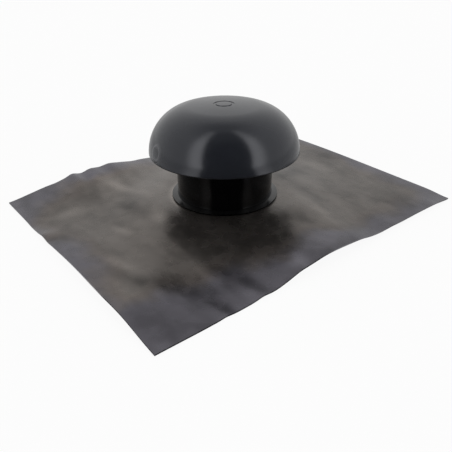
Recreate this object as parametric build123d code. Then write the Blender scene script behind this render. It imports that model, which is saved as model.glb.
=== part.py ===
"""Roof vent cap: a domed rain cap on a short pipe sleeve, set in a soft lead flashing sheet.

Millimetres, +Z up. The origin is on the sleeve's axis, in the plane of its foot. X runs along the
sheet's long side and Y along its short side.
"""
import math
import os
from collections import namedtuple

from build123d import *

# Vent pipe and the sleeve that takes it from below
PIPE_DIAMETER = 125.0
PIPE_CLEARANCE = 0.3
SLEEVE_WALL = 4.0
SLEEVE_HEIGHT = 97.0
SLEEVE_EDGE = 1.0
SOCKET_DEPTH = 55.0
STOP_REACH = 2.5
STOP_THICKNESS = 3.0

# Flange under the sheet and retaining ring over it
FLANGE_HEIGHT = 16.0
FLANGE_REACH = 13.0
FLANGE_THICKNESS = 2.5
FLANGE_FILLET = 1.5
SEAT_CLEARANCE = 0.2
RING_REACH = 8.2
RING_EDGE_HEIGHT = 2.0
RING_RISE = 1.5
RING_EDGE_FILLET = 0.3
RING_CLEARANCE = 0.15
BEAD_RADIUS = 0.6

# Domed cap, with the plug and webs that hold it over the sleeve's mouth
CAP_DIAMETER = 206.4
CAP_RISE = 64.3
CROWN_RADIUS = 500.0
CAP_WALL = 2.5
CAP_DROP = 15.5
RIM_FILLET = 0.8
GATE_RING_DIAMETER = 28.0
GATE_RING_WIDTH = 3.5
GATE_RING_DEPTH = 0.8
PLUG_DEPTH = 16.0
PLUG_WALL = 2.5
PLUG_CLEARANCE = 0.15
PLUG_LEAD_IN = 0.8
WEB_COUNT = 4
WEB_THICKNESS = 2.5
WEB_FIRST_ANGLE = 45.0
WEB_UNDERCUT = 18.0

# Lead flashing sheet: its cut size, where its centre lies and how it falls away from the flange
SHEET_LENGTH = 500.0
SHEET_WIDTH = 400.0
SHEET_THICKNESS = 1.5
SHEET_OFFSET_X = 4.5
SHEET_OFFSET_Y = -3.3
SHEET_HOLE_CLEARANCE = 0.5
SEAT_MARGIN = 8.0
DRAPE_REACH = 75.0
SHEET_GRID_STEP = 20.0

# Swells where the sheet's edges lift: place along the edge from the sheet's centre, height above the
# floor, and the spread along X and Y over which the swell dies away
FRONT_SWELL_X = -7.0
FRONT_SWELL_HEIGHT = 14.4
FRONT_SWELL_SPREAD_X = 68.0
FRONT_SWELL_SPREAD_Y = 90.0
FRONT_RIPPLE_X = 150.0
FRONT_RIPPLE_HEIGHT = 2.6
FRONT_RIPPLE_SPREAD_X = 80.0
FRONT_RIPPLE_SPREAD_Y = 100.0
LEFT_SWELL_Y = -35.0
LEFT_SWELL_HEIGHT = 8.4
LEFT_SWELL_SPREAD_X = 85.0
LEFT_SWELL_SPREAD_Y = 100.0
LEFT_RIPPLE_Y = -138.0
LEFT_RIPPLE_HEIGHT = 5.0
LEFT_RIPPLE_SPREAD_X = 70.0
LEFT_RIPPLE_SPREAD_Y = 42.0
BACK_SWELL_X = -107.0
BACK_SWELL_HEIGHT = 20.4
BACK_SWELL_SPREAD_X = 110.0
BACK_SWELL_SPREAD_Y = 80.0
RIGHT_SWELL_Y = 95.0
RIGHT_SWELL_HEIGHT = 12.6
RIGHT_SWELL_SPREAD_X = 190.0
RIGHT_SWELL_SPREAD_Y = 270.0

# Sizes that follow from those above
BORE_RADIUS = PIPE_DIAMETER / 2 + PIPE_CLEARANCE
SLEEVE_RADIUS = BORE_RADIUS + SLEEVE_WALL
FLANGE_RADIUS = SLEEVE_RADIUS + FLANGE_REACH
RING_RADIUS = SLEEVE_RADIUS + RING_REACH
SHEET_SEAT_HEIGHT = FLANGE_HEIGHT + SEAT_CLEARANCE
RING_FOOT_HEIGHT = SHEET_SEAT_HEIGHT + SHEET_THICKNESS + SEAT_CLEARANCE
RING_TOP_HEIGHT = RING_FOOT_HEIGHT + RING_EDGE_HEIGHT + RING_RISE
BEAD_HEIGHT = RING_TOP_HEIGHT + RING_CLEARANCE + BEAD_RADIUS
CAP_RADIUS = CAP_DIAMETER / 2
RIM_HEIGHT = SLEEVE_HEIGHT - CAP_DROP
CAP_TOP = RIM_HEIGHT + CAP_RISE
PLUG_RADIUS = BORE_RADIUS - PLUG_CLEARANCE
PLUG_BORE_RADIUS = PLUG_RADIUS - PLUG_WALL

# The shoulder arc stands upright at the rim and runs smoothly into the crown arc, which is level at the top
CROWN_CENTRE = CAP_TOP - CROWN_RADIUS
CROWN_CHORD_SQUARED = 2 * CROWN_RADIUS * CAP_RISE - CAP_RISE**2
SHOULDER_RADIUS = (CROWN_CHORD_SQUARED - CAP_RADIUS**2) / (2 * (CROWN_RADIUS - CAP_RADIUS))
SHOULDER_CENTRE = CAP_RADIUS - SHOULDER_RADIUS
SHOULDER_TURN = math.atan2(RIM_HEIGHT - CROWN_CENTRE, SHOULDER_CENTRE)

HALF_LENGTH = SHEET_LENGTH / 2
HALF_WIDTH = SHEET_WIDTH / 2
Swell = namedtuple("Swell", "x y height spread_x spread_y")
SWELLS = [
    Swell(FRONT_SWELL_X, -HALF_WIDTH, FRONT_SWELL_HEIGHT, FRONT_SWELL_SPREAD_X, FRONT_SWELL_SPREAD_Y),
    Swell(FRONT_RIPPLE_X, -HALF_WIDTH, FRONT_RIPPLE_HEIGHT, FRONT_RIPPLE_SPREAD_X, FRONT_RIPPLE_SPREAD_Y),
    Swell(-HALF_LENGTH, LEFT_SWELL_Y, LEFT_SWELL_HEIGHT, LEFT_SWELL_SPREAD_X, LEFT_SWELL_SPREAD_Y),
    Swell(-HALF_LENGTH, LEFT_RIPPLE_Y, LEFT_RIPPLE_HEIGHT, LEFT_RIPPLE_SPREAD_X, LEFT_RIPPLE_SPREAD_Y),
    Swell(BACK_SWELL_X, HALF_WIDTH, BACK_SWELL_HEIGHT, BACK_SWELL_SPREAD_X, BACK_SWELL_SPREAD_Y),
    Swell(HALF_LENGTH, RIGHT_SWELL_Y, RIGHT_SWELL_HEIGHT, RIGHT_SWELL_SPREAD_X, RIGHT_SWELL_SPREAD_Y),
]


def polar(centre_r, centre_z, radius, angle):
    """Point of the X-Z half plane at an angle, in radians, round a centre."""
    return (centre_r + radius * math.cos(angle), centre_z + radius * math.sin(angle))


def turned(*edges):
    """Solid turned about Z from the edges of a closed outline in the X-Z half plane."""
    return revolve(make_face(Plane.XZ * (Curve() + list(edges))), Axis.Z)


def dome(inset):
    """Closed dome whose surface lies inset behind the cap's outer surface."""
    rim = (CAP_RADIUS - inset, RIM_HEIGHT)
    shoulder_mid = polar(SHOULDER_CENTRE, RIM_HEIGHT, SHOULDER_RADIUS - inset, SHOULDER_TURN / 2)
    shoulder_end = polar(0, CROWN_CENTRE, CROWN_RADIUS - inset, SHOULDER_TURN)
    crown_mid = polar(0, CROWN_CENTRE, CROWN_RADIUS - inset, (SHOULDER_TURN + math.pi / 2) / 2)
    top = (0, CAP_TOP - inset)
    return turned(
        Line((0, RIM_HEIGHT), rim),
        ThreePointArc(rim, shoulder_mid, shoulder_end),
        ThreePointArc(shoulder_end, crown_mid, top),
        Line(top, (0, RIM_HEIGHT)),
    )


def rim_edges(shell):
    """Both round edges of the cap's open rim."""
    return shell.edges().filter_by(GeomType.CIRCLE).group_by(Axis.Z)[0]


def cap_web(angle):
    """Upright web that stands on the sleeve's mouth and carries the dome, buried in half of its wall."""
    outline = Polyline(
        (PLUG_BORE_RADIUS, SLEEVE_HEIGHT),
        (SLEEVE_RADIUS, SLEEVE_HEIGHT),
        (CAP_RADIUS, SLEEVE_HEIGHT + WEB_UNDERCUT),
        (CAP_RADIUS, CAP_TOP),
        (PLUG_BORE_RADIUS, CAP_TOP),
        close=True,
    )
    plate = extrude(make_face(Plane.XZ * outline), WEB_THICKNESS / 2, both=True)
    return Rot(0, 0, angle) * plate & dome(CAP_WALL / 2)


def make_cap():
    """One moulding: dome shell with a shallow ring groove round its gate, plug ring that enters the
    sleeve, and the webs between them.
    """
    shell = dome(0) - dome(CAP_WALL)
    shell = fillet(rim_edges(shell), RIM_FILLET)
    gate_radius = GATE_RING_DIAMETER / 2
    gate_ring = Cylinder(gate_radius, 2 * GATE_RING_DEPTH)
    gate_ring -= Cylinder(gate_radius - GATE_RING_WIDTH, 2 * GATE_RING_DEPTH)
    plug_top = SLEEVE_HEIGHT + PLUG_WALL
    plug_foot = SLEEVE_HEIGHT - PLUG_DEPTH
    plug = turned(
        Polyline(
            (PLUG_BORE_RADIUS, plug_foot),
            (PLUG_RADIUS - PLUG_LEAD_IN, plug_foot),
            (PLUG_RADIUS, plug_foot + PLUG_LEAD_IN),
            (PLUG_RADIUS, plug_top),
            (PLUG_BORE_RADIUS, plug_top),
            close=True,
        )
    )
    cap = shell - Pos(0, 0, CAP_TOP) * gate_ring + plug
    for index in range(WEB_COUNT):
        cap += cap_web(WEB_FIRST_ANGLE + index * 360 / WEB_COUNT)
    return cap


def make_sleeve():
    """Pipe sleeve with an inner stop for the pipe, a flange for the sheet and a snap bead for the ring."""
    stop_top = SOCKET_DEPTH + STOP_THICKNESS + STOP_REACH
    stop_radius = BORE_RADIUS - STOP_REACH
    tube = turned(
        Polyline(
            (BORE_RADIUS, 0),
            (SLEEVE_RADIUS - SLEEVE_EDGE, 0),
            (SLEEVE_RADIUS, SLEEVE_EDGE),
            (SLEEVE_RADIUS, SLEEVE_HEIGHT - SLEEVE_EDGE),
            (SLEEVE_RADIUS - SLEEVE_EDGE, SLEEVE_HEIGHT),
            (BORE_RADIUS, SLEEVE_HEIGHT),
            (BORE_RADIUS, stop_top),
            (stop_radius, stop_top - STOP_REACH),
            (stop_radius, SOCKET_DEPTH),
            (BORE_RADIUS, SOCKET_DEPTH),
            close=True,
        )
    )
    flange_foot = FLANGE_HEIGHT - FLANGE_THICKNESS
    wall_middle = BORE_RADIUS + SLEEVE_WALL / 2
    flange = turned(
        Polyline(
            (wall_middle, flange_foot - FLANGE_FILLET),
            (SLEEVE_RADIUS, flange_foot - FLANGE_FILLET),
            (SLEEVE_RADIUS + FLANGE_FILLET, flange_foot),
            (FLANGE_RADIUS, flange_foot),
            (FLANGE_RADIUS, FLANGE_HEIGHT),
            (wall_middle, FLANGE_HEIGHT),
            close=True,
        )
    )
    bead = turned(
        Line((SLEEVE_RADIUS, BEAD_HEIGHT - BEAD_RADIUS), (wall_middle, BEAD_HEIGHT - BEAD_RADIUS)),
        Line((wall_middle, BEAD_HEIGHT - BEAD_RADIUS), (wall_middle, BEAD_HEIGHT + BEAD_RADIUS)),
        Line((wall_middle, BEAD_HEIGHT + BEAD_RADIUS), (SLEEVE_RADIUS, BEAD_HEIGHT + BEAD_RADIUS)),
        ThreePointArc(
            (SLEEVE_RADIUS, BEAD_HEIGHT + BEAD_RADIUS),
            (SLEEVE_RADIUS + BEAD_RADIUS, BEAD_HEIGHT),
            (SLEEVE_RADIUS, BEAD_HEIGHT - BEAD_RADIUS),
        ),
    )
    return tube + flange + bead


def make_ring():
    """Retaining ring that presses the sheet on the flange, with a top that falls towards its outer edge."""
    inner = SLEEVE_RADIUS + RING_CLEARANCE
    shoulder = RING_FOOT_HEIGHT + RING_EDGE_HEIGHT
    ring = turned(
        Polyline(
            (inner, RING_FOOT_HEIGHT),
            (RING_RADIUS, RING_FOOT_HEIGHT),
            (RING_RADIUS, shoulder),
            (inner, RING_TOP_HEIGHT),
            close=True,
        )
    )
    outer_edges = ring.edges().filter_by(GeomType.CIRCLE).group_by(SortBy.RADIUS)[-1]
    return fillet(outer_edges.sort_by(Axis.Z)[-1], RING_EDGE_FILLET)


def sheet_height(x, y):
    """Height of the sheet's underside at a point measured from the sheet's centre.

    Over the flange the sheet is level. Away from it the level dies off like a bell curve, and the sum
    of the swells, bell curves too, takes over.
    """
    from_flange = math.hypot(x + SHEET_OFFSET_X, y + SHEET_OFFSET_Y) - FLANGE_RADIUS - SEAT_MARGIN
    held = math.exp(-((max(from_flange, 0) / DRAPE_REACH) ** 2))
    lift = 0
    for swell in SWELLS:
        distance = math.hypot((x - swell.x) / swell.spread_x, (y - swell.y) / swell.spread_y)
        lift += swell.height * math.exp(-(distance**2))
    return SHEET_SEAT_HEIGHT * held + lift * (1 - held)


def spread(half, step):
    """Evenly spaced values from -half to half, about a step apart."""
    count = math.ceil(2 * half / step)
    return [-half + 2 * half * index / count for index in range(count + 1)]


def make_sheet():
    """Sheet of even thickness, dressed to its seat and swells, with a round hole for the sleeve."""
    columns = spread(HALF_LENGTH, SHEET_GRID_STEP)
    rows = [
        [(x + SHEET_OFFSET_X, y + SHEET_OFFSET_Y, sheet_height(x, y)) for x in columns]
        for y in spread(HALF_WIDTH, SHEET_GRID_STEP)
    ]
    underside = Face.make_surface_from_array_of_points(rows)
    sheet = extrude(underside, SHEET_THICKNESS, dir=(0, 0, 1))
    hole = Cylinder(SLEEVE_RADIUS + SHEET_HOLE_CLEARANCE, 4 * SHEET_THICKNESS)
    return sheet - Pos(0, 0, SHEET_SEAT_HEIGHT) * hole


NODES = {
    "cap": make_cap,
    "sleeve": make_sleeve,
    "retaining_ring": make_ring,
    "flashing_sheet": make_sheet,
}

os.makedirs("parts", exist_ok=True)
for name, make in NODES.items():
    export_step(make(), f"parts/{name}.step")
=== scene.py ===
import bpy
import numpy as np
from mathutils import Matrix, Vector


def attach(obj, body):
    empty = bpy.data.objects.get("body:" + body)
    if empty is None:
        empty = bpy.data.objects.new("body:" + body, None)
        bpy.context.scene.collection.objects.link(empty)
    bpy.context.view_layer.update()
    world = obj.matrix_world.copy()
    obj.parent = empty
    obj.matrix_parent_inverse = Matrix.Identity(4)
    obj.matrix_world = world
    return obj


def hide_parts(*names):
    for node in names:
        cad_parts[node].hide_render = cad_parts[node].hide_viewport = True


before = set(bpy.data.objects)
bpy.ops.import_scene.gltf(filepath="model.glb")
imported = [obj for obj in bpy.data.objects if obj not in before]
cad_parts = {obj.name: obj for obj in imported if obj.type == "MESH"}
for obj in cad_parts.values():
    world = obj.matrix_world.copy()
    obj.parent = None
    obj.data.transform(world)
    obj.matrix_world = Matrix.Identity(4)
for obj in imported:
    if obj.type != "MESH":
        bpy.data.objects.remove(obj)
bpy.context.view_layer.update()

# Sizes of the pieces in metres, the same as in the part
MM = 0.001
BORE_RADIUS = 62.8 * MM
SLEEVE_RADIUS = 66.8 * MM
SLEEVE_HEIGHT = 97.0 * MM
SLEEVE_EDGE = 1.0 * MM
SOCKET_DEPTH = 55.0 * MM
STOP_REACH = 2.5 * MM
STOP_THICKNESS = 3.0 * MM
FLANGE_HEIGHT = 16.0 * MM
FLANGE_RADIUS = 79.8 * MM
FLANGE_THICKNESS = 2.5 * MM
FLANGE_FILLET = 1.5 * MM
SEAT_CLEARANCE = 0.2 * MM
RING_RADIUS = 75.0 * MM
RING_BORE = 66.95 * MM
RING_EDGE_HEIGHT = 2.0 * MM
RING_RISE = 1.5 * MM
RING_FILLET = 0.3 * MM
RING_CLEARANCE = 0.15 * MM
BEAD_RADIUS = 0.6 * MM
CAP_RADIUS = 103.2 * MM
CAP_RISE = 64.3 * MM
CROWN_RADIUS = 500.0 * MM
CAP_WALL = 2.5 * MM
CAP_DROP = 15.5 * MM
GATE_RING_RADIUS = 14.0 * MM
GATE_RING_WIDTH = 3.5 * MM
GATE_RING_DEPTH = 0.8 * MM
PLUG_RADIUS = 62.65 * MM
PLUG_WALL = 2.5 * MM
PLUG_DEPTH = 16.0 * MM
PLUG_LEAD_IN = 0.8 * MM
WEB_THICKNESS = 2.5 * MM
WEB_UNDERCUT = 18.0 * MM
WEB_ANGLES = np.radians([45, 135, 225, 315])
SHEET_LENGTH = 500.0 * MM
SHEET_WIDTH = 400.0 * MM
SHEET_THICKNESS = 1.5 * MM
SHEET_OFFSET = (4.5 * MM, -3.3 * MM)
SHEET_HOLE_RADIUS = 67.3 * MM
SEAT_MARGIN = 8.0 * MM
DRAPE_REACH = 75.0 * MM

# Sizes of fine forms that the part leaves out: the rim's rounder edges, the groove's sloping walls,
# the low round ridge on the dome's side and where the sheet's creases begin
RIM_ROUND_OUT = 1.9 * MM
RIM_ROUND_IN = CAP_WALL - RIM_ROUND_OUT
GROOVE_SLOPE = 0.25 * MM
SIDE_RING_BEARING = np.radians(171.7)
SIDE_RING_CLIMB = 15.2 * MM
SIDE_RING_RADIUS = 9.7 * MM
SIDE_RING_WIDTH = 5.6 * MM
SIDE_RING_HEIGHT = 0.22 * MM
SIDE_RING_SINK = 0.04 * MM
SIDE_RING_DEPTH = 0.6 * MM
CREASE_START = 12.0 * MM
# Least distance from the groove's edge to the mesh's next points on the dome
GROOVE_LIP = 0.7 * MM

# Heights and radii that follow from those above
SHEET_SEAT = FLANGE_HEIGHT + SEAT_CLEARANCE
RING_FOOT = SHEET_SEAT + SHEET_THICKNESS + SEAT_CLEARANCE
RING_SHOULDER = RING_FOOT + RING_EDGE_HEIGHT
RING_TOP = RING_SHOULDER + RING_RISE
BEAD_HEIGHT = RING_TOP + RING_CLEARANCE + BEAD_RADIUS
RIM_HEIGHT = SLEEVE_HEIGHT - CAP_DROP
CAP_TOP = RIM_HEIGHT + CAP_RISE
PLUG_BORE = PLUG_RADIUS - PLUG_WALL
CROWN_CENTRE = CAP_TOP - CROWN_RADIUS
CROWN_HALF_CHORD_SQUARED = 2 * CROWN_RADIUS * CAP_RISE - CAP_RISE**2
SHOULDER_RADIUS = (CROWN_HALF_CHORD_SQUARED - CAP_RADIUS**2) / (2 * (CROWN_RADIUS - CAP_RADIUS))
SHOULDER_CENTRE = CAP_RADIUS - SHOULDER_RADIUS
SHOULDER_TURN = np.arctan2(RIM_HEIGHT - CROWN_CENTRE, SHOULDER_CENTRE)
SIDE_RING_SLOPE = SIDE_RING_CLIMB / SHOULDER_RADIUS
SIDE_RING_REACH = SHOULDER_CENTRE + SHOULDER_RADIUS * np.cos(SIDE_RING_SLOPE)
SIDE_RING_CENTRE = (
    SIDE_RING_REACH * np.cos(SIDE_RING_BEARING),
    SIDE_RING_REACH * np.sin(SIDE_RING_BEARING),
    RIM_HEIGHT + SHOULDER_RADIUS * np.sin(SIDE_RING_SLOPE),
)

# Swells of the sheet: place from its centre, height above the floor, spread along X and Y, all in millimetres
SWELLS = [
    (-7, -200, 14.4, 68, 90),
    (150, -200, 2.6, 80, 100),
    (-250, -35, 8.4, 85, 100),
    (-250, -138, 5.0, 70, 42),
    (-107, 200, 20.4, 110, 80),
    (250, 95, 12.6, 190, 270),
]
# Small ripples and dents of its free edges, given in the same way
EDGE_RIPPLES = [
    (-166, -200, 1.2, 8, 25),
    (-116, -200, 1.4, 9, 30),
    (-96, -200, -0.8, 12, 30),
    (-60, -200, 1.8, 15, 40),
    (3, -200, -0.8, 22, 40),
    (48, -200, 1.2, 16, 40),
    (110, -200, 0.9, 16, 30),
    (248, -196, -2.2, 22, 20),
    (-250, 52, -0.6, 14, 9),
    (-250, 70, 2.0, 16, 12),
    (-250, 108, -0.9, 14, 12),
    (-250, 190, -1.8, 30, 40),
    (-178, 200, -0.9, 10, 40),
    (-151, 200, 2.6, 8, 40),
    (-135, 200, -1.8, 8, 40),
    (-120, 200, 0.8, 7, 40),
    (-104, 200, -1.0, 8, 40),
    (-86, 200, 1.4, 11, 40),
    (-47, 200, -1.5, 14, 40),
]
# Long low creases and dips across it, left from rolling, given in the same way
CREASES = [
    (-196, -117, 0.6, 12, 32),
    (-180, -172, 0.6, 12, 34),
    (-131, -134, 0.5, 11, 40),
    (-124, -10, -1.0, 22, 45),
    (47, -106, 1.6, 30, 55),
]
# Painted highlights and painted shade on it, for creases that catch the light and for the cap's and tube's
# shadow and dark
# reflection: place from its centre, spread along X and Y, all in millimetres, then sideways lean along Y and
# share of light gained
PAINTED_LIGHT_MARKS = [
    (-66, 122, 60, 80, 0, 0.30),
    (-107, 122, 9, 55, -0.3, 0.60),
    (-130, 58, 14, 24, -0.2, -0.40),
    (-160, 132, 18, 32, -0.3, -0.15),
    (-200, 106, 22, 14, 0, 0.60),
    (-236, 48, 18, 15, 0, -0.60),
    (-167, 12, 7, 22, -0.25, 0.60),
    (-118, 3, 16, 16, 0, 0.50),
    (-206, -51, 9, 24, -0.25, 0.50),
    (-194, -108, 14, 24, -0.3, -0.60),
    (-146, -124, 14, 30, -0.2, 0.65),
    (-200, -178, 50, 30, 0, -0.12),
    (-128, -187, 14, 16, 0, 0.35),
    (-50, -180, 18, 16, 0, 0.50),
    (-7, -149, 22, 18, 0, -0.32),
    (-84, -78, 38, 36, 0, 0.30),
    (20, -114, 24, 22, 0, -0.50),
    (14, -200, 40, 16, 0, -0.40),
    (62, -104, 8, 45, 0.14, 0.30),
    (91, -69, 13, 50, 0.14, -0.45),
    (116, -4, 32, 18, 0, -0.60),
    (179, -8, 13, 32, 0, 0.55),
    (222, 9, 18, 26, 0, -0.50),
    (181, -152, 45, 38, 0, -0.30),
    (102, -172, 18, 28, 0, -0.30),
    (100, -178, 130, 30, 0, -0.10),
]

# Colours of the finishes
SLATE_DEEP = (0.0165, 0.0182, 0.0235, 1)
SLATE_PALE = (0.0190, 0.0210, 0.0265, 1)
# Painted highlight: the ridge on the dome's side is coloured lighter for the bright ring of light on it
SLATE_RIDGE_HIGHLIGHT = (0.085, 0.085, 0.094, 1)
# Painted shade: the rim's foot is coloured near-black for the dark line under the rim
SLATE_FOOT_SHADE = (0.004, 0.004, 0.005, 1)
SLATE_GLOSS = (0.94, 0.95, 1, 1)
TUBE_DEEP = (0.0012, 0.0012, 0.0014, 1)
TUBE_PALE = (0.0020, 0.0020, 0.0022, 1)
RING_BLACK = (0.0040, 0.0040, 0.0043, 1)
# Painted shade: the ring's outer edge is coloured near-black for the dark gap under it
RING_EDGE_SHADE = (0.0010, 0.0010, 0.0011, 1)
LEAD_BRONZE = (0.134, 0.121, 0.111, 1)
LEAD_VIOLET = (0.121, 0.116, 0.132, 1)
LEAD_RUST = (0.144, 0.116, 0.106, 1)
FLOOR_COLOUR = (0.9, 0.9, 0.9, 1)
WHITE = (1, 1, 1, 1)
# Bands over which they change: up from the rim, up from the ring's shoulder, in from the sheet's edges
FOOT_BAND = (1.2 * MM, 2.4 * MM)
RING_EDGE_BAND = (-0.3 * MM, 0.1 * MM)
VIOLET_BAND = (-45 * MM, -8 * MM)
RUST_BAND = (-60 * MM, -35 * MM)
# The violet bloom starts further out at the sheet's short sides, and follows a slant at its front
SIDE_BLOOM_SHIFT = 12 * MM
FRONT_BLOOM_SHIFT = 14 * MM
FRONT_BLOOM_SLANT = 0.16
# Painted highlight round the ring's outer edge, where the sheet catches the light, and the side of the ring
# where it shows
RING_HIGHLIGHT_WIDTH = 5.0 * MM
RING_HIGHLIGHT_SLANT = 0.7
RING_HIGHLIGHT_SIDE_BAND = (20 * MM, 70 * MM)
# Depths of the finest relief: grain of the plastics, rolling and dressing of the lead
GRAIN_DEPTH = 0.006 * MM
LEAD_RELIEF = 1.0 * MM
# Cloudy noise is cut to its middle range, so that it has plain areas and soft borders
SHEEN_STREAK_CUT = (0.34, 0.66)
SMUDGE_CUT = (0.30, 0.70)

# Camera at the photograph's viewing angle
CAMERA_PLACE = Vector((-0.4012, -0.5028, 0.3205))
CAMERA_AIM = Vector((0.0010, -0.0008, -0.0390))
CAMERA_ROLL = np.radians(-0.56)
CAMERA_LENS = 39.15
CAMERA_SENSOR = 36.0

# Light tent: its opening faces just right of the camera, and its axis leans back
TENT_OPENING = np.arctan2(CAMERA_PLACE.y, CAMERA_PLACE.x) + np.radians(4.3)
TENT_LEAN = np.radians(12)
# Bearings from the opening where the wall begins and where the bright strip beside it fades
WALL_START = np.radians((33.7, 39.7))
STRIP_FADE = np.radians((47.5, 65))
OPENING_LIGHT = 0.01
WALL_LIGHT = 0.78
STRIP_LIGHT = 1.55
STRIP_LIGHT_ON_FLOOR = 1.0
TOP_LIGHT = 0.40
# Heights, as sines, where the dim top begins towards the opening and away from it
TOP_START_AHEAD = (0.955, 0.995)
TOP_START_BEHIND = (0.78, 0.98)
FLOOR_REACH = 6.0
FLOOR_WHITE_SHARE = 0.93
FLOOR_MIRROR_SHARE = 0.75


# Meshes


def new_piece(name, points, faces, sharp_degrees=40):
    """Mesh object of the given points and faces, shaded smooth except at edges sharper than the angle."""
    mesh = bpy.data.meshes.new(name)
    mesh.from_pydata(points.tolist(), [], faces)
    mesh.shade_smooth()
    mesh.set_sharp_from_angle(angle=np.radians(sharp_degrees))
    piece = bpy.data.objects.new(name, mesh)
    bpy.context.collection.objects.link(piece)
    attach(piece, "root")
    return piece


def grid_faces(rows, columns, wrap_rows):
    """Quads of a grid of points that closes on itself across its columns, and across its rows if asked."""
    count = rows if wrap_rows else rows - 1
    row, column = np.meshgrid(np.arange(count), np.arange(columns), indexing="ij")
    here, below = row * columns, (row + 1) % rows * columns
    beside = (column + 1) % columns
    corners = [here + column, below + column, below + beside, here + beside]
    return np.stack(corners, axis=-1).reshape(-1, 4).tolist()


def turned(profile, segments):
    """Points of a profile (radius, height) carried round Z: x = r cos a, y = r sin a, z = h."""
    angle = np.linspace(0, 2 * np.pi, segments, endpoint=False)
    radius, height = np.asarray(profile).T
    x = np.outer(radius, np.cos(angle))
    y = np.outer(radius, np.sin(angle))
    z = np.outer(height, np.ones(segments))
    return np.stack([x, y, z], axis=-1).reshape(-1, 3)


def turned_loop(name, profile, segments=256):
    """Ring-shaped piece: a closed profile, given anticlockwise, carried round Z."""
    points = turned(profile[::-1], segments)
    return new_piece(name, points, grid_faces(len(profile), segments, True))


def turned_shell(name, profile, segments=256):
    """Piece closed at two poles: a profile that starts and ends on the axis, carried round Z."""
    body = turned(profile[1:-1], segments)
    last = len(body)
    poles = np.array([[0, 0, profile[0][1]], [0, 0, profile[-1][1]]])
    faces = grid_faces(len(profile) - 2, segments, False)
    step = np.arange(segments)
    beside = (step + 1) % segments
    faces += np.stack([np.full(segments, last), step, beside], axis=-1).tolist()
    end = last - segments
    faces += np.stack([np.full(segments, last + 1), end + beside, end + step], axis=-1).tolist()
    return new_piece(name, np.vstack([body, poles]), faces)


def arc(centre, radius, start, end, count):
    """Points (radius, height) of an arc between two angles in radians."""
    angle = np.linspace(start, end, count)
    return np.stack([centre[0] + radius * np.cos(angle), centre[1] + radius * np.sin(angle)], axis=-1)


def dome_line(inset, count):
    """Profile from axis to rim, inset behind the cap's outer surface: crown arc, then shoulder arc."""
    crown = arc((0, CROWN_CENTRE), CROWN_RADIUS - inset, np.pi / 2, SHOULDER_TURN, count // 3)
    shoulder = arc((SHOULDER_CENTRE, RIM_HEIGHT), SHOULDER_RADIUS - inset, SHOULDER_TURN, 0, count)
    return np.vstack([crown, shoulder[1:]])


def crown_height(radius):
    """Height of the crown arc at a distance from the axis, by Pythagoras."""
    return CROWN_CENTRE + np.sqrt(CROWN_RADIUS**2 - radius**2)


def rim_round(middle, radius, start, count):
    """Quarter arc at the rim, from the given angle clockwise, that ends on or leaves the rim's level."""
    return arc((middle, RIM_HEIGHT + radius), radius, start, start - np.pi / 2, count)


def make_cap_shell():
    """Dome with a shallow ring groove round the gate at its top and a rounded rim."""
    groove_start = GATE_RING_RADIUS - GATE_RING_WIDTH
    groove_floor = CAP_TOP - GATE_RING_DEPTH
    reach = np.linspace(0, groove_start, 8)
    island = np.stack([reach, crown_height(reach)], axis=-1)
    groove = [
        (groove_start + GROOVE_SLOPE, groove_floor),
        (GATE_RING_RADIUS - GROOVE_SLOPE, groove_floor),
        (GATE_RING_RADIUS, crown_height(GATE_RING_RADIUS)),
    ]
    outer = dome_line(0, 72)
    outer = outer[outer[:, 0] > GATE_RING_RADIUS + GROOVE_LIP]
    outer = outer[outer[:, 1] > RIM_HEIGHT + RIM_ROUND_OUT]
    outer_round = rim_round(CAP_RADIUS - RIM_ROUND_OUT, RIM_ROUND_OUT, 0, 10)
    inner_round = rim_round(CAP_RADIUS - CAP_WALL + RIM_ROUND_IN, RIM_ROUND_IN, -np.pi / 2, 6)
    inner = dome_line(CAP_WALL, 60)[::-1]
    inner = inner[inner[:, 1] > RIM_HEIGHT + RIM_ROUND_IN]
    profile = np.vstack([island, groove, outer, outer_round, inner_round[1:], inner])
    cap = turned_shell("cap_shell", profile)
    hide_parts("cap")
    return cap


def make_side_ring(around=128, across=25):
    """Low round ridge on the dome's side: a cosine wave across, laid on the shoulder arc round the axis."""
    turn = np.linspace(0, 2 * np.pi, around, endpoint=False)
    share = np.linspace(-1, 1, across)
    reach = SIDE_RING_RADIUS + SIDE_RING_WIDTH / 2 * share
    reach = np.concatenate([reach, reach[[-1, 0]]])
    lift = SIDE_RING_HEIGHT * (1 + np.cos(np.pi * share)) / 2 - SIDE_RING_SINK
    lift = np.concatenate([lift, [-SIDE_RING_DEPTH, -SIDE_RING_DEPTH]])[:, None]
    slope = SIDE_RING_SLOPE + np.outer(reach, np.sin(turn)) / SHOULDER_RADIUS
    bearing = SIDE_RING_BEARING + np.outer(reach, np.cos(turn)) / CAP_RADIUS
    radius = SHOULDER_CENTRE + (SHOULDER_RADIUS + lift) * np.cos(slope)
    height = RIM_HEIGHT + (SHOULDER_RADIUS + lift) * np.sin(slope)
    points = np.dstack([radius * np.cos(bearing), radius * np.sin(bearing), height]).reshape(-1, 3)
    return new_piece("cap_side_ring", points, grid_faces(len(lift), around, True))


def make_cap_plug():
    """Ring that enters the sleeve's mouth, with a lead-in at its foot."""
    foot = SLEEVE_HEIGHT - PLUG_DEPTH
    top = SLEEVE_HEIGHT + PLUG_WALL
    profile = [
        (PLUG_BORE, foot),
        (PLUG_RADIUS - PLUG_LEAD_IN, foot),
        (PLUG_RADIUS, foot + PLUG_LEAD_IN),
        (PLUG_RADIUS, top),
        (PLUG_BORE, top),
    ]
    return turned_loop("cap_plug", profile)


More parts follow.
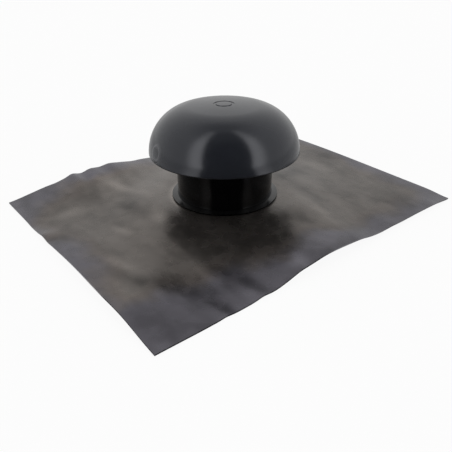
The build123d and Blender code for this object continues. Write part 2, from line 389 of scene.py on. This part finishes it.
def make_cap_webs():
    """Four upright plates between the plug and the dome: each spans from its sloping foot up to the dome."""
    ceiling = dome_line(CAP_WALL / 2, 400)
    reach = np.linspace(PLUG_BORE, CAP_RADIUS, 200)
    way_out = np.clip((reach - SLEEVE_RADIUS) / (CAP_RADIUS - SLEEVE_RADIUS), 0, None)
    foot = SLEEVE_HEIGHT + WEB_UNDERCUT * way_out
    top = np.interp(reach, ceiling[:, 0], ceiling[:, 1])
    keep = top > foot
    reach, foot, top = reach[keep], foot[keep], top[keep]
    line = np.concatenate([np.stack([reach, foot], axis=-1), np.stack([reach, top], axis=-1)[::-1]])
    count = len(line)
    lower = np.arange(len(reach) - 1)
    upper = count - 1 - lower
    plate = np.stack([lower, lower + 1, upper - 1, upper], axis=-1)
    edge = np.arange(count)
    after = (edge + 1) % count
    points = []
    faces = []
    for web, angle in enumerate(WEB_ANGLES):
        along = np.array([np.cos(angle), np.sin(angle)])
        across = np.array([-np.sin(angle), np.cos(angle)]) * WEB_THICKNESS / 2
        for side in (-1, 1):
            flat = np.outer(line[:, 0], along) + side * across
            points.append(np.column_stack([flat, line[:, 1]]))
        near = 2 * web * count
        far = near + count
        faces += (plate + near).tolist()
        faces += (plate[:, ::-1] + far).tolist()
        faces += np.stack([near + after, near + edge, far + edge, far + after], axis=-1).tolist()
    return new_piece("cap_webs", np.vstack(points), faces)


def make_sleeve():
    """Tube with a pipe stop inside, a flange under the sheet and a half-round bead over the ring."""
    stop_radius = BORE_RADIUS - STOP_REACH
    stop_top = SOCKET_DEPTH + STOP_THICKNESS
    flange_foot = FLANGE_HEIGHT - FLANGE_THICKNESS
    outside = [
        (BORE_RADIUS, 0),
        (SLEEVE_RADIUS - SLEEVE_EDGE, 0),
        (SLEEVE_RADIUS, SLEEVE_EDGE),
        (SLEEVE_RADIUS, flange_foot - FLANGE_FILLET),
        (SLEEVE_RADIUS + FLANGE_FILLET, flange_foot),
        (FLANGE_RADIUS, flange_foot),
        (FLANGE_RADIUS, FLANGE_HEIGHT),
        (SLEEVE_RADIUS, FLANGE_HEIGHT),
    ]
    bead = arc((SLEEVE_RADIUS, BEAD_HEIGHT), BEAD_RADIUS, -np.pi / 2, np.pi / 2, 12)
    inside = [
        (SLEEVE_RADIUS, SLEEVE_HEIGHT - SLEEVE_EDGE),
        (SLEEVE_RADIUS - SLEEVE_EDGE, SLEEVE_HEIGHT),
        (BORE_RADIUS, SLEEVE_HEIGHT),
        (BORE_RADIUS, stop_top + STOP_REACH),
        (stop_radius, stop_top),
        (stop_radius, SOCKET_DEPTH),
        (BORE_RADIUS, SOCKET_DEPTH),
    ]
    sleeve = turned_loop("pipe_sleeve", np.vstack([outside, bead, inside]))
    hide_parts("sleeve")
    return sleeve


def make_ring():
    """Retaining ring: its top falls to a rounded outer edge."""
    foot = [(RING_BORE, RING_FOOT), (RING_RADIUS, RING_FOOT)]
    rounded = arc((RING_RADIUS - RING_FILLET, RING_SHOULDER - RING_FILLET), RING_FILLET, 0, np.pi / 2, 8)
    profile = np.vstack([foot, rounded, [(RING_BORE, RING_TOP)]])
    ring = turned_loop("clamp_ring", profile)
    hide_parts("retaining_ring")
    return ring


def bells(x, y, humps):
    """Sum of bell curves: height times exp of minus the squared distance in spreads."""
    total = np.zeros_like(x)
    for place_x, place_y, height, spread_x, spread_y in np.array(humps) * MM:
        total += height * np.exp(-(((x - place_x) / spread_x) ** 2) - ((y - place_y) / spread_y) ** 2)
    return total


def sheet_height(x, y):
    """Height of the sheet's underside. It is level over the flange, and away from it that height fades
    like a bell curve and the swells and ripples take over. The creases start soon after the flange."""
    from_axis = np.hypot(x + SHEET_OFFSET[0], y + SHEET_OFFSET[1])
    from_flange = np.clip(from_axis - FLANGE_RADIUS - SEAT_MARGIN, 0, None)
    held = np.exp(-((from_flange / DRAPE_REACH) ** 2))
    free = 1 - np.exp(-((from_flange / CREASE_START) ** 2))
    waves = bells(x, y, SWELLS + EDGE_RIPPLES)
    return SHEET_SEAT * held + waves * (1 - held) + bells(x, y, CREASES) * free


def sheet_border(count):
    """Points round the sheet's rectangle from its centre, evenly spaced along its four sides."""
    half_x, half_y = SHEET_LENGTH / 2, SHEET_WIDTH / 2
    corners = np.array([(-half_x, -half_y), (half_x, -half_y), (half_x, half_y), (-half_x, half_y)])
    sides = []
    for start, end in zip(corners, np.roll(corners, -1, axis=0)):
        share = np.linalg.norm(end - start) / (2 * (SHEET_LENGTH + SHEET_WIDTH))
        along = np.linspace(0, 1, round(count * share), endpoint=False)[:, None]
        sides.append(start + (end - start) * along)
    return np.vstack(sides)


def make_sheet(around=480, across=90):
    """Closed sheet: lines from the hole to the border, over the top and back along the underside."""
    border = sheet_border(around)
    centre = -np.array(SHEET_OFFSET)
    out = border - centre
    hole = centre + SHEET_HOLE_RADIUS * out / np.linalg.norm(out, axis=1, keepdims=True)
    share = np.linspace(0, 1, across)[:, None, None]
    flat = hole + (border - hole) * share
    low = sheet_height(flat[..., 0], flat[..., 1])
    bottom = np.dstack([flat + SHEET_OFFSET, low])
    top = bottom + [0, 0, SHEET_THICKNESS]
    points = np.concatenate([top, bottom[::-1]]).reshape(-1, 3)
    faces = grid_faces(2 * across, len(border), True)
    sheet = new_piece("flashing", points, faces, sharp_degrees=50)
    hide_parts("flashing_sheet")
    return sheet


# Finishes


class Wire:
    """A socket's value in a node tree. Arithmetic on it adds Math nodes; node() adds any other node."""

    def __init__(self, tree, socket=None):
        self.tree = tree
        self.socket = socket

    def node(self, kind, settings=None, sockets=None, output=0):
        """New node: its settings first, then the values or links of its sockets; gives one of its outputs."""
        made = self.tree.nodes.new(kind)
        for name, value in (settings or {}).items():
            setattr(made, name, value)
        for name, value in (sockets or {}).items():
            if isinstance(value, Wire):
                self.tree.links.new(value.socket, made.inputs[name])
            else:
                made.inputs[name].default_value = value
        return Wire(self.tree, made.outputs[output] if made.outputs else None)

    def math(self, operation, *values):
        """Math node over the given values."""
        return self.node("ShaderNodeMath", {"operation": operation}, dict(enumerate(values)))

    def __add__(self, other):
        return self.math("ADD", self, other)

    def __radd__(self, other):
        return self.math("ADD", other, self)

    def __sub__(self, other):
        return self.math("SUBTRACT", self, other)

    def __rsub__(self, other):
        return self.math("SUBTRACT", other, self)

    def __mul__(self, other):
        return self.math("MULTIPLY", self, other)

    def __rmul__(self, other):
        return self.math("MULTIPLY", other, self)

    def __truediv__(self, other):
        return self.math("DIVIDE", self, other)

    def __abs__(self):
        return self.math("ABSOLUTE", self)

    def larger(self, other):
        """The larger of this value and another."""
        return self.math("MAXIMUM", self, other)

    def fade(self):
        """Fall from 1 towards 0 as this value grows: exp of minus the value."""
        return self.math("POWER", np.exp(-1), self)

    def step(self, low, high):
        """Smooth step from 0 at low to 1 at high."""
        settings = {"interpolation_type": "SMOOTHSTEP"}
        return self.node("ShaderNodeMapRange", settings, {"Value": self, "From Min": low, "From Max": high})

    def tint(self, first, second):
        """Colour between two others, by this value."""
        return self.node("ShaderNodeMix", {"data_type": "RGBA"}, {0: self, 6: first, 7: second}, 2)

    def noise(self, place, scale, detail=2.0, roughness=0.5):
        """Cloudy value from 0 to 1 at the given place; scale is in clouds a metre."""
        sockets = {"Vector": place, "Scale": scale, "Detail": detail, "Roughness": roughness}
        return self.node("ShaderNodeTexNoise", {}, sockets)

    def place(self, stretch=(1, 1, 1)):
        """Point of the piece in metres, stretched along the axes."""
        point = self.node("ShaderNodeTexCoord", {}, {}, "Object")
        return self.node("ShaderNodeMapping", {"vector_type": "TEXTURE"}, {"Vector": point, "Scale": stretch})

    def split(self, vector):
        """The three components of a vector."""
        made = self.tree.nodes.new("ShaderNodeSeparateXYZ")
        self.tree.links.new(vector.socket, made.inputs[0])
        return [Wire(self.tree, output) for output in made.outputs]

    def apart(self, first, second):
        """Distance between two points."""
        return self.node("ShaderNodeVectorMath", {"operation": "DISTANCE"}, {0: first, 1: second}, "Value")

    def scaled(self, colour):
        """Colour made lighter or darker by this value."""
        return self.node("ShaderNodeVectorMath", {"operation": "SCALE"}, {0: colour, "Scale": self})

    def bump(self, height, depth):
        """Normal of a surface raised by the height, whose full range is the depth in metres."""
        return self.node("ShaderNodeBump", {}, {"Height": height, "Distance": depth, "Strength": 1.0})

    def seen_by(self, *rays):
        """1 for the named kinds of rays of the light path, 0 for the others."""
        return sum(self.node("ShaderNodeLightPath", {}, {}, f"Is {ray} Ray") for ray in rays)


def new_finish(name):
    """Material with an empty tree, as a wire to build it from."""
    material = bpy.data.materials.new(name)
    material.use_nodes = True
    material.node_tree.nodes.clear()
    return material, Wire(material.node_tree)


def close_finish(kit, sockets):
    """Principled surface of the given values, led to the material's output."""
    surface = kit.node("ShaderNodeBsdfPrincipled", {}, sockets)
    kit.node("ShaderNodeOutputMaterial", {}, {"Surface": surface})


def slate_finish():
    """Glossy moulded plastic: slate grey, faintly mottled, with orange-peel grain. The ridge on its side is
    painted lighter as a painted highlight, and the foot of the rim is dull and painted dark as painted shade."""
    material, kit = new_finish("slate_plastic")
    place = kit.place()
    height = kit.split(place)[2] - RIM_HEIGHT
    mottle = kit.noise(place, 38, 3)
    grain = kit.noise(place, 1500, 1)
    # The rim's foot is painted dark as painted shade under the rim, and is also made rougher
    foot = 1 - height.step(*FOOT_BAND)
    # The ridge is painted lighter round its ring: a painted highlight
    from_ridge = (kit.apart(place, SIDE_RING_CENTRE) - SIDE_RING_RADIUS) / (0.45 * SIDE_RING_WIDTH)
    ridge_highlight = (from_ridge * from_ridge).fade()
    base = (ridge_highlight * 0.8).tint(mottle.tint(SLATE_DEEP, SLATE_PALE), SLATE_RIDGE_HIGHLIGHT)
    sockets = {
        "Base Color": (foot * 0.8).tint(base, SLATE_FOOT_SHADE),
        "Roughness": 0.155 + 0.05 * mottle + 0.4 * foot,
        "Specular Tint": SLATE_GLOSS,
        "Normal": kit.bump(grain, GRAIN_DEPTH),
    }
    close_finish(kit, sockets)
    return material


def black_finish():
    """Drawn black plastic: deep black with fine lines along the tube and a slightly uneven gloss."""
    material, kit = new_finish("black_plastic")
    lines = kit.noise(kit.place((1, 1, 60)), 700, 3, 0.6)
    cloud = kit.noise(kit.place(), 45, 2)
    sockets = {
        "Base Color": cloud.tint(TUBE_DEEP, TUBE_PALE),
        "Roughness": 0.07 + 0.04 * cloud + 0.03 * lines,
        "IOR": 1.22,
        "Normal": kit.bump(lines, GRAIN_DEPTH),
    }
    close_finish(kit, sockets)
    return material


def ring_finish():
    """Satin black plastic: deep black, a fine moulded grain and a cloudy gloss. Its outer edge is painted
    shade: near-black and metallic, so it reflects nothing.
    """
    material, kit = new_finish("black_satin")
    place = kit.place()
    height = kit.split(place)[2] - RING_SHOULDER
    # Below the shoulder the edge is painted shade: near-black, metallic and rough, so it reflects almost
    # nothing
    edge = 1 - height.step(*RING_EDGE_BAND)
    cloud = kit.noise(place, 60, 2)
    grain = kit.noise(place, 1400, 1)
    sockets = {
        "Base Color": edge.tint(RING_BLACK, RING_EDGE_SHADE),
        "Metallic": edge,
        "Roughness": 0.12 + 0.06 * cloud + 0.02 * grain + 0.3 * edge,
        "IOR": 1.5,
        "Normal": kit.bump(grain, GRAIN_DEPTH),
    }
    close_finish(kit, sockets)
    return material


def lead_colour(kit, x, y, cloud):
    """Bronze-grey in the middle of the sheet, a trace of rust, then a violet bloom near its edges."""
    from_sides = abs(x) - SHEET_LENGTH / 2 - SIDE_BLOOM_SHIFT
    from_ends = abs(y) - SHEET_WIDTH / 2
    from_front = FRONT_BLOOM_SHIFT - SHEET_WIDTH / 2 - y - FRONT_BLOOM_SLANT * x
    edge = from_sides.larger(from_ends).larger(from_front) + 0.10 * (cloud - 0.5)
    violet = edge.step(*VIOLET_BAND)
    rust = edge.step(*RUST_BAND) * (1 - violet)
    return (rust * 0.3).tint(violet.tint(LEAD_BRONZE, LEAD_VIOLET), LEAD_RUST)


def ring_edge_highlight(kit, x, y):
    """Painted highlight: bell curve across the ring's outer edge, on one side of the ring."""
    from_ring = (kit.math("SQRT", x * x + y * y) - RING_RADIUS) / RING_HIGHLIGHT_WIDTH
    return (from_ring * from_ring).fade() * (y - RING_HIGHLIGHT_SLANT * x).step(*RING_HIGHLIGHT_SIDE_BAND)


def painted_light_marks(x, y, shade):
    """Shade with the painted highlights and painted shade marks added: each is a bell curve that may lean."""
    for place_x, place_y, spread_x, spread_y, lean, gain in PAINTED_LIGHT_MARKS:
        from_place = y - place_y * MM
        across = (x - place_x * MM - lean * from_place) / (spread_x * MM)
        along = from_place / (spread_y * MM)
        shade = shade + gain * (across * across + along * along).fade()
    return shade


def lead_finish():
    """Dull dressed lead: bloom of several colours, streaks of painted sheen, smudges, marks of painted
    highlight and shade, dents from rolling.
    """
    material, kit = new_finish("lead_sheet")
    place = kit.place()
    x, y = kit.split(place)[:2]
    sheet_x, sheet_y = x - SHEET_OFFSET[0], y - SHEET_OFFSET[1]
    cloud = kit.noise(place, 11, 3, 0.55)
    # Light and dark streaks along Y are painted sheen, for rolled folds that catch the light
    sheen_streak = kit.noise(kit.place((1, 2.4, 1)), 26, 2, 0.5).step(*SHEEN_STREAK_CUT)
    smudge = kit.noise(place, 55, 1, 0.5).step(*SMUDGE_CUT)
    # The line round the ring's outer edge is a painted highlight
    shade = 0.74 + 0.32 * sheen_streak + 0.20 * smudge + 0.9 * ring_edge_highlight(kit, x, y)
    # Painted highlights and painted shade from the table of marks
    shade = painted_light_marks(sheet_x, sheet_y, shade)
    rolled = kit.noise(kit.place((1, 2.2, 1)), 20, 2, 0.45)
    dents = kit.noise(kit.place((1, 1.5, 1)), 70, 2, 0.5)
    dimples = kit.noise(place, 170, 2, 0.5)
    grain = kit.noise(place, 900, 1)
    sockets = {
        "Base Color": shade.scaled(lead_colour(kit, sheet_x, sheet_y, cloud)),
        "Metallic": 0.86,
        "Roughness": 0.20 + 0.08 * cloud + 0.05 * smudge + 0.01 * grain,
        "Normal": kit.bump(rolled * 1.1 + dents * 0.13 + dimples * 0.02, LEAD_RELIEF),
    }
    close_finish(kit, sockets)
    return material


def give_finish(finish, *pieces):
    """The same finish on every one of the pieces."""
    for piece in pieces:
        piece.data.materials.append(finish)


give_finish(slate_finish(), make_cap_shell(), make_side_ring(), make_cap_plug(), make_cap_webs())
give_finish(black_finish(), make_sleeve())
give_finish(ring_finish(), make_ring())
give_finish(lead_finish(), make_sheet())


# Camera, floor and light


def make_camera():
    """Camera from its place, the point it looks at and its roll."""
    forward = (CAMERA_AIM - CAMERA_PLACE).normalized()
    level = forward.cross(Vector((0, 0, 1))).normalized()
    upright = level.cross(forward)
    right = level * np.cos(CAMERA_ROLL) + upright * np.sin(CAMERA_ROLL)
    up = upright * np.cos(CAMERA_ROLL) - level * np.sin(CAMERA_ROLL)
    turn = Matrix((right, up, -forward)).transposed().to_4x4()
    data = bpy.data.cameras.new("camera")
    data.lens = CAMERA_LENS
    data.sensor_fit = "HORIZONTAL"
    data.sensor_width = CAMERA_SENSOR
    camera = bpy.data.objects.new("camera", data)
    camera.matrix_world = Matrix.Translation(CAMERA_PLACE) @ turn
    bpy.context.collection.objects.link(camera)
    bpy.context.scene.camera = camera


def tent_bearing(x, y):
    """How far a direction points towards the tent's opening, and how far to its side."""
    ahead = x * np.cos(TENT_OPENING) + y * np.sin(TENT_OPENING)
    aside = y * np.cos(TENT_OPENING) - x * np.sin(TENT_OPENING)
    return ahead, aside


def tent_wall(kit, ahead, aside, strip_light):
    """Light of the tent by bearing: a dark opening, a bright strip on each side of it, then an even wall."""
    bearing = abs(kit.math("ARCTAN2", aside, ahead))
    wall = bearing.step(*WALL_START)
    strip = wall * (1 - bearing.step(*STRIP_FADE))
    return OPENING_LIGHT + WALL_LIGHT * wall + strip_light * strip


def make_tent():
    """World: the tent's wall by bearing round a leaning axis, with a dim top; white for the camera."""
    world = bpy.data.worlds.new("tent")
    world.use_nodes = True
    world.node_tree.nodes.clear()
    kit = Wire(world.node_tree)
    x, y, z = kit.split(kit.node("ShaderNodeTexCoord", {}, {}, "Generated"))
    ahead, aside = tent_bearing(x, y)
    leaning = ahead * np.cos(TENT_LEAN) + z * np.sin(TENT_LEAN)
    height = z * np.cos(TENT_LEAN) - ahead * np.sin(TENT_LEAN)
    behind = 0.5 - 0.5 * ahead
    top = height.step(*TOP_START_AHEAD) * (1 - behind) + z.step(*TOP_START_BEHIND) * behind
    light = tent_wall(kit, leaning, aside, STRIP_LIGHT) * (1 - top) + TOP_LIGHT * top
    seen = kit.seen_by("Camera")
    strength = light * (1 - seen) + seen
    surface = kit.node("ShaderNodeBackground", {}, {"Color": WHITE, "Strength": strength})
    kit.node("ShaderNodeOutputWorld", {}, {"Surface": surface})
    bpy.context.scene.world = world


def floor_finish():
    """White to the camera with the object's soft shadow, the tent's own light in reflections."""
    material, kit = new_finish("floor")
    x, y = kit.split(kit.place())[:2]
    wall = tent_wall(kit, *tent_bearing(x, y), STRIP_LIGHT_ON_FLOOR)
    seen = kit.seen_by("Camera", "Transmission")
    mirrored = kit.seen_by("Glossy")
    matt = kit.node("ShaderNodeBsdfDiffuse", {}, {"Color": FLOOR_COLOUR})
    glow = kit.node("ShaderNodeEmission", {}, {"Strength": seen + mirrored * wall * FLOOR_MIRROR_SHARE})
    share = FLOOR_WHITE_SHARE * seen + mirrored
    surface = kit.node("ShaderNodeMixShader", {}, {0: share, 1: matt, 2: glow})
    kit.node("ShaderNodeOutputMaterial", {}, {"Surface": surface})
    return material


def make_floor():
    """Wide level square under the object."""
    corners = np.array([(-1, -1, 0), (1, -1, 0), (1, 1, 0), (-1, 1, 0)]) * FLOOR_REACH
    mesh = bpy.data.meshes.new("floor")
    mesh.from_pydata(corners.tolist(), [], [(0, 1, 2, 3)])
    floor = bpy.data.objects.new("floor", mesh)
    bpy.context.collection.objects.link(floor)
    give_finish(floor_finish(), floor)


make_camera()
make_tent()
make_floor()
bpy.context.scene.view_settings.view_transform = "Standard"
